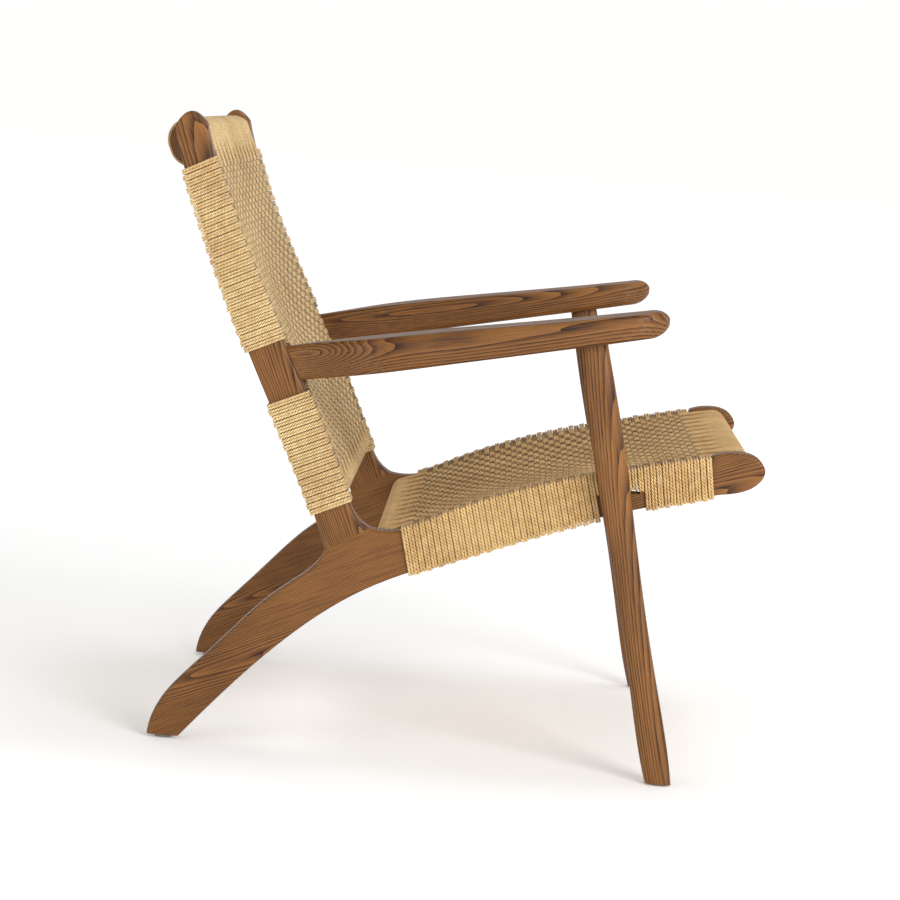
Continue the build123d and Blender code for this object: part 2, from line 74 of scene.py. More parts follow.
# ------------------------------------------------------------------ sizes and colours a user may change
class CordSettings(bpy.types.PropertyGroup):
    diameter: bpy.props.FloatProperty(
        name="Diameter", description="Thickness of the twisted cord", default=0.0035,
        min=0.002, max=0.006, subtype="DISTANCE", unit="LENGTH", precision=4)
    pitch: bpy.props.FloatProperty(
        name="Pitch", description="Distance between two turns laid side by side", default=0.0036,
        min=0.002, max=0.008, subtype="DISTANCE", unit="LENGTH", precision=4)
    bundles: bpy.props.IntProperty(
        name="Warp bundles", description="Bundles of cord that run between the cross rails", default=23,
        min=5, max=80)
    bundle_cords: bpy.props.IntProperty(
        name="Cords in a bundle", description="Cords lying side by side in one warp bundle", default=7,
        min=2, max=16)
    seat_wave: bpy.props.FloatProperty(
        name="Seat wave", description="How far a seat cord rises and falls as it crosses the others",
        default=0.0022, min=0.0, max=0.004, subtype="DISTANCE", unit="LENGTH", precision=4)
    back_wave: bpy.props.FloatProperty(
        name="Back wave", description="How far a back cord rises and falls as it crosses the others",
        default=0.0016, min=0.0, max=0.004, subtype="DISTANCE", unit="LENGTH", precision=4)
    lift: bpy.props.FloatProperty(
        name="Lift", description="How far every second pair of turns stands up on a side member",
        default=0.0012, min=0.0, max=0.003, subtype="DISTANCE", unit="LENGTH", precision=4)
    lay: bpy.props.FloatProperty(
        name="Lay", description="Length of one full twist of the three plies", default=0.0125,
        min=0.004, max=0.03, subtype="DISTANCE", unit="LENGTH", precision=4)
    # The seat's cord colour is a darker copy of the back's cord colour: painted shade for the seat, whose top
    # gets less light.
    seat_colour_painted_shade: bpy.props.FloatVectorProperty(
        name="Seat cord", description="Colour of the cord on the seat", default=(0.88, 0.575, 0.25),
        min=0.0, max=1.0, size=3, subtype="COLOR")
    back_colour: bpy.props.FloatVectorProperty(
        name="Back cord", description="Colour of the cord on the back", default=(0.93, 0.64, 0.315),
        min=0.0, max=1.0, size=3, subtype="COLOR")


class WoodSettings(bpy.types.PropertyGroup):
    stain: bpy.props.FloatVectorProperty(
        name="Stain", description="Colour of the stained wood between its pores",
        default=(0.100, 0.034, 0.0060),
        min=0.0, max=1.0, size=3, subtype="COLOR")
    summer: bpy.props.FloatVectorProperty(
        name="Light bands", description="Colour of the harder, lighter bands", default=(0.290, 0.122, 0.0290),
        min=0.0, max=1.0, size=3, subtype="COLOR")
    pore: bpy.props.FloatVectorProperty(
        name="Pores", description="Colour of the open pores, where the stain gathers",
        default=(0.012, 0.0045, 0.002), min=0.0, max=1.0, size=3, subtype="COLOR")
    ring: bpy.props.FloatProperty(
        name="Growth ring", description="Usual width of one growth ring on a sawn face", default=0.0052,
        min=0.001, max=0.02, subtype="DISTANCE", unit="LENGTH", precision=4)
    lacquer: bpy.props.FloatProperty(
        name="Lacquer", description="Roughness of the satin lacquer", default=0.44,
        min=0.05, max=1.0, subtype="FACTOR")


class StageSettings(bpy.types.PropertyGroup):
    floor: bpy.props.FloatVectorProperty(
        name="Floor", description="Colour of the studio floor", default=(0.93, 0.93, 0.93),
        min=0.0, max=1.0, size=3, subtype="COLOR")
    lens: bpy.props.FloatProperty(
        name="Lens", description="Focal length of the camera in millimetres", default=130.6,
        min=20.0, max=300.0, unit="CAMERA")


# ------------------------------------------------------------------ shader maths as expressions
class Wire:
    """A socket of a material's node tree, or a plain number, that can be worked with like a number."""

    def __init__(self, tree, value):
        self.tree = tree
        self.value = value

    def join(self, operation, *others, clamp=False):
        made = self.tree.nodes.new("ShaderNodeMath")
        made.operation = operation
        made.use_clamp = clamp
        for socket, item in zip(made.inputs, (self, *others)):
            item = item.value if isinstance(item, Wire) else item
            if isinstance(item, (int, float)):
                socket.default_value = item
            else:
                self.tree.links.new(item, socket)
        return Wire(self.tree, made.outputs[0])

    def turned(self, operation, other):
        return Wire(self.tree, other).join(operation, self)

    def __add__(self, other): return self.join("ADD", other)
    def __radd__(self, other): return self.turned("ADD", other)
    def __sub__(self, other): return self.join("SUBTRACT", other)
    def __rsub__(self, other): return self.turned("SUBTRACT", other)
    def __mul__(self, other): return self.join("MULTIPLY", other)
    def __rmul__(self, other): return self.turned("MULTIPLY", other)
    def __truediv__(self, other): return self.join("DIVIDE", other)
    def __rtruediv__(self, other): return self.turned("DIVIDE", other)
    def sin(self): return self.join("SINE")
    def abs(self): return self.join("ABSOLUTE")
    def root(self): return self.join("SQRT")
    def limited(self): return self.join("ADD", 0.0, clamp=True)
    def over(self, low, high): return ((self - low) / (high - low)).limited()


class Graph:
    """A node tree under construction."""

    def __init__(self, tree):
        self.tree = tree

    def node(self, kind, settings=None, inputs=None, output=0):
        """Make a node of a kind, with its settings first and then its sockets, and give one output."""
        made = self.tree.nodes.new(kind)
        for key, value in (settings or {}).items():
            if key == "stops":
                for i, (place, colour) in enumerate(value):
                    stop = made.color_ramp.elements[i] if i < 2 else made.color_ramp.elements.new(place)
                    stop.position = place
                    stop.color = (*colour, 1.0)
            else:
                setattr(made, key, value)
        for key, value in (inputs or {}).items():
            self.feed(made.inputs[key], value)
        return Wire(self.tree, made.outputs[output])

    def feed(self, socket, value):
        value = value.value if isinstance(value, Wire) else value
        if isinstance(value, bpy.types.NodeSocket):
            self.tree.links.new(value, socket)
        elif hasattr(value, "__len__") and len(value) == 3 and len(socket.default_value) == 4:
            socket.default_value = (*value, 1.0)
        else:
            socket.default_value = value

    def mix(self, share, first, second):
        """A colour between two others."""
        return self.node("ShaderNodeMix", {"data_type": "RGBA"}, {0: share, 6: first, 7: second}, output=2)

    def noise(self, place, scale, detail=3.0, rough=0.5):
        return self.node("ShaderNodeTexNoise", None,
                         {"Vector": place, "Scale": scale, "Detail": detail, "Roughness": rough})

    def place(self):
        """Where a point lies on its object."""
        return self.node("ShaderNodeTexCoord", output="Object")

    def axes(self, vector):
        """The three numbers of a vector."""
        parts = self.node("ShaderNodeSeparateXYZ", None, {"Vector": vector}).value.node.outputs
        return [Wire(self.tree, part) for part in parts]


class Finish(Graph):
    """One material under construction."""

    def __init__(self, name):
        self.material = bpy.data.materials.new(name)
        self.material.use_nodes = True
        super().__init__(self.material.node_tree)
        self.shader = next(n for n in self.tree.nodes if n.type == "BSDF_PRINCIPLED")

    def set(self, **values):
        for key, value in values.items():
            self.feed(self.shader.inputs[key.replace("_", " ")], value)

    def raised(self, height, strength, distance):
        """Bump from a height between 0 and 1."""
        self.set(Normal=self.node("ShaderNodeBump", None,
                                  {"Height": height, "Strength": strength, "Distance": distance}))


# ------------------------------------------------------------------ finishes
GRAIN_STRETCH = 40.0        # how many times longer than wide a streak of the grain is
PLAIN_SAWN = 6.0            # how much faster the rings follow each other through a plank than across it
TAPER = 0.016               # how much the tree narrows towards its top, so that its rings run out as arches


def stained_wood(name, settings, grain, pith):
    """Stained open-pored wood with its grain along a direction; pith is the middle of the tree, in the two
    directions across the grain."""
    finish = Finish(name)
    lengthwise = Vector(grain).normalized()
    turn = lengthwise.to_track_quat("X", "Z").inverted().to_euler()
    laid = finish.node("ShaderNodeMapping", {"vector_type": "POINT"},
                       {"Vector": finish.place(), "Rotation": tuple(turn)})
    pulled = finish.node("ShaderNodeMapping", {"vector_type": "POINT"},
                         {"Vector": laid, "Scale": (1.0 / GRAIN_STRETCH, 1.0, 1.0)})
    sway = finish.noise(laid, 3.2, 2.0) - 0.5
    wander = finish.noise(pulled, 60.0, 2.0) - 0.5
    along, across, deep = finish.axes(laid)
    side = across - pith[0] + sway * 0.014
    depth = deep - pith[1] + sway * 0.012
    distance = (side * side + depth * depth * PLAIN_SAWN + (along * along) * TAPER).root()
    rings = distance / settings.ring + wander * 0.9
    saw = rings.join("FRACT")
    early = 1.0 - saw.over(0.0, 0.48)
    streak = finish.noise(pulled, 300.0, 3.0, 0.6)
    fine = finish.noise(pulled, 900.0, 2.0, 0.6)
    pores = (streak.over(0.50, 0.60) * 0.90 + fine.over(0.50, 0.63) * 0.60).limited()
    dark = (pores * (early * 0.62 + 0.38)).limited()
    cloud = finish.noise(laid, 7.0, 3.0)
    tone = (saw.over(0.25, 0.90) * 0.60 + (cloud - 0.5) * 1.1 + (streak - 0.5) * 1.6 + 0.24).limited()
    colour = finish.mix(tone, tuple(settings.stain), tuple(settings.summer))
    line = early.over(0.45, 0.95) * (0.40 + streak.over(0.42, 0.60) * 0.60)
    colour = finish.mix((line * 0.92).limited(), colour, tuple(c * 0.22 for c in settings.stain))
    colour = finish.mix(dark, colour, tuple(settings.pore))
    finish.set(Base_Color=colour,
               Roughness=(settings.lacquer + dark * 0.24 + (cloud - 0.5) * 0.12).limited(),
               Specular_IOR_Level=0.26, Coat_Weight=0.05, Coat_Roughness=0.25)
    finish.raised(1.0 - dark, 0.35, 0.00025)
    return finish.material


PLIES = 3.0                 # strands twisted into one cord


def twisted_cord(name, settings, colour):
    """Three-ply paper cord. The map named Cord holds the length along it and the turn round it, the map named
    Weave how far it has dived between its neighbours. The hollows between the plies, the sides that face the
    neighbouring cords and the dived stretches are darkened as painted shade."""
    finish = Finish(name)
    along, round_it, _ = finish.axes(finish.node("ShaderNodeUVMap", {"uv_map": "Cord"}))
    turns = along / settings.lay * PLIES + round_it * PLIES
    ply = (turns * math.pi).sin().abs()
    groove = 1.0 - ply.over(0.0, 0.60)
    dive = finish.axes(finish.node("ShaderNodeUVMap", {"uv_map": "Weave"}))[0]
    # painted shade: the two sides of the cord that face its neighbours, darkened in random patches where the
    # gaps between cords lie in shade
    flank_shade = (round_it * (2.0 * math.pi)).sin().abs().over(0.72, 1.0)
    place = finish.place()
    cloud = finish.noise(place, 14.0, 2.0)
    patch = finish.noise(place, 160.0, 2.0)
    crease = finish.noise(place, 1400.0, 2.0, 0.6)
    light = tuple(min(1.0, c * 1.20) for c in colour)
    brown = tuple(c * k for c, k in zip(colour, (0.70, 0.62, 0.52)))
    tint = finish.mix((cloud.over(0.30, 0.70) * 0.45 + patch.over(0.35, 0.68) * 0.55).limited(), brown, light)
    tint = finish.mix((crease.over(0.50, 0.75) * 0.35).limited(), tint, brown)
    # painted shade: deep is the colour of the shade in the ply hollows, in the gaps between cords and under
    # crossings
    deep = tuple(c * k for c, k in zip(colour, (0.24, 0.155, 0.085)))
    # painted shade in the hollows between the plies
    tint = finish.mix((groove * 0.88).limited(), tint, deep)
    # painted shade in the gaps between neighbouring cords
    tint = finish.mix((flank_shade * patch).limited(), tint, deep)
    # painted shade where the cord dives under its neighbours at the crossings
    tint = finish.mix((dive.over(0.25, 0.95) * 0.88).limited(), tint, tuple(c * 0.35 for c in deep))
    finish.set(Base_Color=tint, Roughness=(0.62 + groove * 0.2 + (crease - 0.5) * 0.2).limited(),
               Specular_IOR_Level=0.35, Sheen_Weight=0.12, Sheen_Roughness=0.5)
    finish.raised(ply * 0.8 + crease * 0.2, 1.0, 0.0014)
    return finish.material


def brushed_steel(name, colour):
    """Plain steel with fine scratches."""
    finish = Finish(name)
    scratch = finish.noise(finish.place(), 900.0, 3.0)
    finish.set(Base_Color=finish.mix(scratch, tuple(c * 0.8 for c in colour), colour), Metallic=1.0,
               Roughness=(0.32 + (scratch - 0.5) * 0.25).limited())
    finish.raised(scratch, 0.08, 0.0002)
    return finish.material


def moulded_plastic(name, colour):
    """Grey moulded plastic with a slightly uneven skin."""
    finish = Finish(name)
    skin = finish.noise(finish.place(), 500.0, 3.0)
    finish.set(Base_Color=finish.mix(skin, tuple(c * 0.85 for c in colour), colour),
               Roughness=(0.5 + (skin - 0.5) * 0.2).limited())
    finish.raised(skin, 0.1, 0.0002)
    return finish.material


def give(obj, material):
    obj.data.materials.clear()
    obj.data.materials.append(material)


def settings_of(name):
    return getattr(bpy.context.scene, name)


# ------------------------------------------------------------------ reading the frame's own shapes
def points_of(node):
    mesh = NODES[node].data
    found = np.zeros(len(mesh.vertices) * 3)
    mesh.vertices.foreach_get("co", found)
    return found.reshape(-1, 3)


def surface_of(node):
    mesh = NODES[node].data
    return BVHTree.FromPolygons([v.co for v in mesh.vertices], [p.vertices for p in mesh.polygons])


def length_of(line):
    return float(np.linalg.norm(np.diff(line, axis=0), axis=1).sum())


RING_POINTS = 40            # points of the outline of the cord round a cross rail


def ring_outline(node):
    """The outer outline of the cord round a cross rail, as (y, z) points at even angles, and its centre."""
    low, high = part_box(node)
    centre = (low + high) / 2
    skin = surface_of(node)
    outline = []
    for i in range(RING_POINTS):
        angle = 2 * math.pi * i / RING_POINTS
        way = Vector((0.0, math.cos(angle), math.sin(angle)))
        spot = skin.ray_cast(Vector((0.0, centre.y, centre.z)) + way * 0.2, -way)[0]
        outline.append((spot.y, spot.z))
    return np.array(outline), np.array((centre.y, centre.z))


# ------------------------------------------------------------------ cord as mesh
def tube(path, sideways, radius):
    """Rings of points round a path. sideways is never along the path."""
    ahead = np.gradient(path, axis=0)
    ahead /= np.linalg.norm(ahead, axis=1, keepdims=True)
    first = np.cross(ahead, sideways)
    first /= np.linalg.norm(first, axis=1, keepdims=True)
    second = np.cross(ahead, first)
    turn = np.linspace(0.0, 2 * math.pi, CORD_SIDES, endpoint=False)
    radius = np.broadcast_to(radius, len(path))[:, None, None]
    return (path[:, None, :] + radius * (np.cos(turn)[None, :, None] * first[:, None, :]
                                         + np.sin(turn)[None, :, None] * second[:, None, :]))


def hank(name, runs, material, replaced):
    """Many runs of cord as one or more mesh objects. A run is a path, a direction across it, its radius, and
    how far each point has dived between its neighbours."""
    parts, load = [[]], 0
    for run in runs:
        faces = 2 * CORD_SIDES * (len(run[0]) - 1)
        if load + faces > FACES_A_PIECE:
            parts.append([])
            load = 0
        parts[-1].append(run)
        load += faces
    for number, part in enumerate(parts):
        obj = hank_object("%s_%d" % (name, number + 1), part)
        give(obj, material)
        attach(obj, "root")
    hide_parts(*replaced)


def corner_map(start, end, zero, one):
    """Map places of the four corners of each face, from its two ends and its two sides."""
    return np.stack([start, zero, start, one, end, one, end, zero], axis=-1).reshape(-1, 2)


def hank_object(name, runs):
    """One mesh of tubes with three maps: Cord is the place on the cord, Weave its dive, and OFBake an
    unfolding in which no two faces overlap."""
    corners, faces, cord_map, weave_map, bake_map, base = [], [], [], [], [], 0
    for number, (path, sideways, radius, dive) in enumerate(runs):
        rings = tube(path, sideways, radius)
        count = len(path)
        corners.append(rings.reshape(-1, 3))
        length = np.r_[0.0, np.cumsum(np.linalg.norm(np.diff(path, axis=0), axis=1))]
        i, j = np.meshgrid(np.arange(count - 1), np.arange(CORD_SIDES), indexing="ij")
        after = (j + 1) % CORD_SIDES
        quad = np.stack([i * CORD_SIDES + j, i * CORD_SIDES + after,
                         (i + 1) * CORD_SIDES + after, (i + 1) * CORD_SIDES + j], axis=-1).reshape(-1, 4)
        faces.append(quad + base)
        base += count * CORD_SIDES
        j_one = (j + 1) / CORD_SIDES
        j_zero = j / CORD_SIDES
        start, end = length[i] + number * TWIST_SHIFT, length[i + 1] + number * TWIST_SHIFT
        cord_map.append(corner_map(start, end, j_zero, j_one))
        weave_map.append(corner_map(dive[i], dive[i + 1], np.zeros(i.shape), np.zeros(i.shape)))
        zero, one = (number + 0.9 * j_zero) / len(runs), (number + 0.9 * j_one) / len(runs)
        start, end = (0.002 + 0.996 * length[k] / length[-1] for k in (i, i + 1))
        bake_map.append(corner_map(start, end, zero, one))
    corners, faces = np.concatenate(corners), np.concatenate(faces)
    mesh = bpy.data.meshes.new(name)
    mesh.vertices.add(len(corners))
    mesh.vertices.foreach_set("co", corners.astype(np.float32).ravel())
    mesh.loops.add(faces.size)
    mesh.loops.foreach_set("vertex_index", faces.astype(np.int32).ravel())
    mesh.polygons.add(len(faces))
    mesh.polygons.foreach_set("loop_start", np.arange(0, faces.size, 4, dtype=np.int32))
    mesh.polygons.foreach_set("loop_total", np.full(len(faces), 4, dtype=np.int32))
    mesh.polygons.foreach_set("use_smooth", np.ones(len(faces), dtype=bool))
    mesh.update(calc_edges=True)
    for title, values in (("Cord", cord_map), ("Weave", weave_map), ("OFBake", bake_map)):
        layer = mesh.uv_layers.new(name=title)
        layer.data.foreach_set("uv", np.concatenate(values).astype(np.float32).ravel())
    mesh.validate()
    obj = bpy.data.objects.new(name, mesh)
    bpy.context.scene.collection.objects.link(obj)
    return obj


def softened(line, passes=2):
    """A polyline with its corners cut."""
    for _ in range(passes):
        first, last = line[:1], line[-1:]
        cut = np.stack([0.75 * line[:-1] + 0.25 * line[1:], 0.25 * line[:-1] + 0.75 * line[1:]], axis=1)
        line = np.concatenate([first, cut.reshape(-1, 3), last])
    return line


# ------------------------------------------------------------------ a woven panel
PAIR_NIP = 0.00012          # how much closer the two cords of a pair lie than the pairs themselves
UNEVEN = 0.00012            # how far a weft strays from its even place
CORE_GAP = 0.0004           # air between a side member and the cord round it
NAIL_REACH = 0.016          # how far inside the woven edge a turn ends on its nail
EDGE_GAP = 0.0034           # open strip between a side member and the first warp bundle
MIRROR = np.array([-1.0, 1.0, 1.0])
SITTER_SIDE = np.array([-0.5, 1.0])     # forward and up, the side of both panels that is sat on
OPEN_TURNS = 2              # turns beside each cross rail that stay on the side members
SPREAD = 0.017              # length over which gathered bundles open out on a cross rail
FIRM = 3.0                  # how squarely a weft steps between two bundles
SETTLE = 0.0075             # length over which a weft goes from a side member's top into the weave
END_GAP = 0.0070            # space between two bundles where they leave a cross rail
INNER_GAP = 0.0025          # space between two bundles in the weave
DROP = 0.02                 # a surface this far below the member's edge is no longer the panel
WEFT_STEP = 0.0019          # distance between the points of a weft
WARP_STEP = 0.4             # distance between the points of a warp, in turns of the weft
GATHERED_TURNS = 7.0        # turns of the weft over which the bundles close up beside a cross rail
ROUND_RAIL = 0.86           # how much of the way round a cross rail a warp is drawn
BEND = 0.004                # bend of a cord's middle line round an edge of a member
OUTWARD = Vector((1.0, 0.0, 0.0))       # away from the middle of the chair, on its left-hand side
LEG_REACH = 0.05            # how far out from the rail a leg in front of it is looked for
SLOT_DEPTHS = (0.010, 0.045, 0.0015)    # first depth, last depth and step in which a slot is looked for


def unit(vector):
    return vector / np.linalg.norm(vector)


def clean_line(points):
    keep = np.r_[True, np.linalg.norm(np.diff(points, axis=0), axis=1) > 1e-6]
    return points[keep]


# A place where one weft starts: on the member's upper edge, its lower edge or None where the cord leaves the
# member bare, and the way from the one to the other.
Station = namedtuple("Station", "upper lower down")


class WovenPanel:
    """The frame's own shapes round one woven panel, from its first cross rail to its second."""

    def __init__(self, weave, sleeves, rings, cord):
        self.cord = cord
        self.skin = surface_of(weave)
        self.rings = [ring_outline(ring) for ring in rings]
        run = unit(self.rings[1][1] - self.rings[0][1])
        low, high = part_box(weave)
        self.reach = high.x
        self.span = high.x - EDGE_GAP
        low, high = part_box("left_" + sleeves[0])
        self.inner = low.x
        self.outer = high.x - cord.diameter - CORE_GAP
        self.facing = np.array([-run[1], run[0]])
        if self.facing @ SITTER_SIDE < 0:
            self.facing = -self.facing
        self.run = run
        self.stations = []
        last = None
        for sleeve in sleeves:
            upper, lower = self.edges_of("left_" + sleeve)
            if last is not None:
                self.bare(last, (upper[0], lower[0]))
            count = 2 * round(length_of(upper) / cord.pitch / 2)
            for i in range(count):
                above, below = (at_share(edge, (i + 0.5) / count) for edge in (upper, lower))
                self.stations.append(Station(above, below, unit(below - above)))
            last = (upper[-1], lower[-1])
        self.line = np.array([station.upper for station in self.stations])
        self.columns = np.linspace(-self.reach * 0.995, self.reach * 0.995, 25)
        self.heights = self.read_heights()

    def edges_of(self, sleeve):
        """The upper and the lower edge of a sleeve's outer face, from the first cross rail on."""
        points = points_of(sleeve)
        outside = points[points[:, 0] > points[:, 0].max() - 1e-5][:, 1:]
        along = np.linalg.svd(outside - outside.mean(axis=0), full_matrices=False)[2][0]
        along = along if along @ self.run > 0 else -along
        across = np.array([-along[1], along[0]])
        across = across if across @ self.facing > 0 else -across
        ends = []
        for sign in (1.0, -1.0):
            chain = outside[(outside - outside.mean(axis=0)) @ across * sign > 0]
            ends.append(clean_line(chain[np.argsort(chain @ along)]))
        return ends

    def bare(self, before, after):
        """Stations of a stretch that the cord crosses without going round the member."""
        gap = np.linalg.norm(after[0] - before[0])
        count = 2 * round(gap / self.cord.pitch / 2)
        ways = [unit(b - a) for a, b in (before, after)]
        for i in range(count):
            share = (i + 0.5) / count
            self.stations.append(Station(before[0] * (1 - share) + after[0] * share, None,
                                         unit(ways[0] * (1 - share) + ways[1] * share)))

    def read_heights(self):
        """How high the panel stands over each station's straight line across, with gaps filled in. Notes the
        stations whose cord is part of the weave."""
        heights = np.full((len(self.line), len(self.columns)), np.nan)
        up = Vector((0.0, *self.facing))
        for k, (y, z) in enumerate(self.line):
            for i, x in enumerate(self.columns):
                spot = self.skin.ray_cast(Vector((x, y, z)) + up * 0.05, -up, 0.12)[0]
                if spot is not None:
                    heights[k, i] = np.array((spot.y - y, spot.z - z)) @ self.facing
        middle, edge = heights[:, len(self.columns) // 2], np.nan_to_num(heights[:, 1], nan=-1.0)
        self.woven = ~np.isnan(middle) & (edge > -DROP)
        good = np.flatnonzero(self.woven)
        for i in range(len(self.columns)):
            known = good[~np.isnan(heights[good, i])]
            heights[:, i] = np.interp(np.arange(len(self.line)), known, heights[known, i])
        start, end = good[0] // 2 * 2, good[-1] // 2 * 2 + 1
        self.woven[:start + OPEN_TURNS] = False
        self.woven[end - OPEN_TURNS + 1:] = False
        return heights

    def height(self, place, x):
        """The panel's height at a place along the line, counted in stations, and at x."""
        k = np.clip(place, 0, len(self.line) - 1)
        low = np.floor(k).astype(int)
        high = np.minimum(low + 1, len(self.line) - 1)
        share = k - low
        i = np.interp(x, self.columns, np.arange(len(self.columns)))
        left = np.floor(i).astype(int)
        right = np.minimum(left + 1, len(self.columns) - 1)
        part = i - left
        near = self.heights[low, left] * (1 - part) + self.heights[low, right] * part
        far = self.heights[high, left] * (1 - part) + self.heights[high, right] * part
        return near * (1 - share) + far * share

    def spot(self, place, x, lift):
        """Points of the panel, lifted off its upper face."""
        place, x, lift = np.broadcast_arrays(np.asarray(place, float), np.asarray(x, float), lift)
        steps = np.arange(len(self.line))
        rise = self.height(place, x) + lift
        return np.stack([x, np.interp(place, steps, self.line[:, 0]) + self.facing[0] * rise,
                         np.interp(place, steps, self.line[:, 1]) + self.facing[1] * rise], axis=-1)


def at_share(line, share):
    gaps = np.r_[0.0, np.cumsum(np.linalg.norm(np.diff(line, axis=0), axis=1))]
    return np.array([np.interp(share * gaps[-1], gaps, line[:, i]) for i in range(2)])


def wave(turn, firmness):
    """A rounded square wave between -1 and 1."""
    return np.tanh(firmness * np.cos(math.pi * turn)) / math.tanh(firmness)


def round_member(panel, number, lift):
    """The way of one turn over a left-hand side member, from the panel's edge outward."""
    upper, lower, down = panel.stations[number]
    radius = panel.cord.diameter / 2
    out = panel.outer + CORE_GAP + radius + 0.3 * lift
    near = panel.inner - CORE_GAP - radius
    top = upper + down * (radius - lift)
    foot = lower - down * (radius - lift)
    rise = np.linalg.norm(foot - top) - NAIL_REACH
    return np.array([
        (out - 2 * BEND, *top), (out - BEND, *top), (out, *top), (out, *(top + down * BEND)),
        (out, *((top + foot) / 2)),
        (out, *(foot - down * BEND)), (out, *foot), (out - BEND, *foot), ((out + near) / 2, *foot),
        (near + BEND, *foot), (near, *foot), (near, *(foot - down * BEND)), (near, *(foot - down * rise)),
    ])


def on_to_nail(panel, number):
    """The way of a turn that goes down on to the nails of a bare stretch."""
    upper, _, down = panel.stations[number]
    radius = panel.cord.diameter / 2
    near = panel.inner - CORE_GAP - radius
    return np.array([(near, *(upper + down * (radius + BEND))), (near, *(upper + down * NAIL_REACH))])


def behind_leg(panel, number):
    """The way of a turn that ends between the member and the leg in front of it."""
    upper, _, down = panel.stations[number]
    top = upper + down * panel.cord.diameter / 2
    return np.array([(panel.outer - BEND, *top), (panel.outer - 0.0002, *top)])


def into_slot(panel, number, depth):
    """The way of a turn that goes down the member's face and through a slot at some depth."""
    upper, _, down = panel.stations[number]
    radius = panel.cord.diameter / 2
    top, slot = upper + down * radius, upper + down * depth
    out = panel.outer + CORE_GAP + radius
    return np.array([(out - BEND, *top), (out, *top), (out, *(top + down * BEND)),
                     (out, *(slot - down * BEND)), (out, *slot), (out - BEND, *slot),
                     (panel.inner + BEND / 2, *slot)])


def weft_runs(panel, wave_height, ends):
    """The cords that run across the chair, each with its turns round both side members. ends gives the way of
    a turn over the left-hand member from its number and how far it stands up."""
    step = 2 * panel.span / panel.cord.bundles
    lift = panel.cord.lift
    radius = panel.cord.diameter / 2
    level = wave_height + radius
    edge = panel.inner
    x = np.linspace(-edge, edge, int(round(2 * edge / WEFT_STEP)) | 1)
    settle = np.clip((edge - np.abs(x)) / SETTLE, 0.0, 1.0)
    settle = settle * settle * (3 - 2 * settle)
    steps = wave((x + panel.span) / step - 0.5, FIRM)
    sideways = np.array([0.0, *panel.run])
    chance = np.random.default_rng(11)
    runs = []
    for k, (upper, _, down) in enumerate(panel.stations):
        pair = k // 2
        sign = 1.0 if pair % 2 else -1.0
        raised = (lift if pair % 2 else 0.0) + chance.uniform(0.0, 0.25) * lift
        member = softened(ends(k, raised))
        side = (-1.0 if k % 2 else 1.0) * PAIR_NIP + chance.uniform(-UNEVEN, UNEVEN)
        shift = sideways * side
        if panel.woven[k]:
            rise = sign * wave_height * steps - level
            body = panel.spot(np.full(len(x), float(k)), x, rise * settle - (radius - raised) * (1 - settle))
            path = np.concatenate([(member * MIRROR)[::-1], body, member]) + shift
            # dive: how deep the cord lies between its neighbours; the cord's material darkens it there as
            # painted shade
            dive = (1.0 - np.abs(steps)) * settle
            if sign < 0:
                dive = np.maximum(dive, 1.0 - settle)
            dive = np.pad(dive, len(member))
            runs.append((path, sideways, radius, dive))
        else:
            near = panel.inner - CORE_GAP - radius
            start = np.array([(near, *(upper + down * NAIL_REACH)), (near, *(upper + down * (radius + BEND))),
                              (near, *(upper + down * radius)), (near + BEND, *(upper + down * radius))])
            loop = np.concatenate([softened(start), member]) + shift
            for path in (loop, loop * MIRROR):
                runs.append((path, sideways, radius, np.zeros(len(path))))
    return runs


def warp_runs(panel, wave_height):
    """The cords that run between the cross rails and round them."""
    bundles, cords = panel.cord.bundles, panel.cord.bundle_cords
    step = 2 * panel.span / bundles
    even = 2 * panel.reach / bundles
    radius = panel.cord.diameter / 2
    level = wave_height + radius
    woven = np.flatnonzero(panel.woven)
    first, last = woven[0] // 2 * 2, woven[-1] // 2 * 2 + 1
    places = np.arange(first, last + 1e-6, WARP_STEP)
    from_end = np.minimum(places - places[0], places[-1] - places)
    gap = END_GAP + (INNER_GAP - END_GAP) * np.clip(from_end / GATHERED_TURNS, 0.0, 1.0)
    turn = wave((places - 0.5) / 2, 1.1)
    laid = 0.52 * even / cords          # radius on the rail, where the cords press together
    sideways = np.array([1.0, 0.0, 0.0])
    chance = np.random.default_rng(23)
    runs = []
    for bundle in range(bundles):
        centre = -panel.span + (bundle + 0.5) * step
        sign = 1.0 if bundle % 2 else -1.0
        beside = (step - gap * chance.uniform(0.8, 1.3) - panel.cord.diameter) / (cords - 1)
        for cord in range(cords):
            spread = -panel.reach + (bundle + (cord + 0.5) / cords) * even
            close = centre + (cord - (cords - 1) / 2) * beside
            rise = sign * wave_height * turn - level
            body = panel.spot(places, close, rise)
            start = ring_way(panel.rings[0], body[0], panel, laid, spread)
            end = ring_way(panel.rings[1], body[-1], panel, laid, spread)
            path = np.concatenate([start[::-1], body, end])
            around = (len(start), len(end))
            thick = np.pad(np.full(len(body), radius), around, constant_values=laid)
            # dive: how deep the cord lies between its neighbours; the cord's material darkens it there as
            # painted shade
            dive = np.pad(1.0 - np.abs(turn), around)
            runs.append((path, sideways, thick, dive))
    return runs


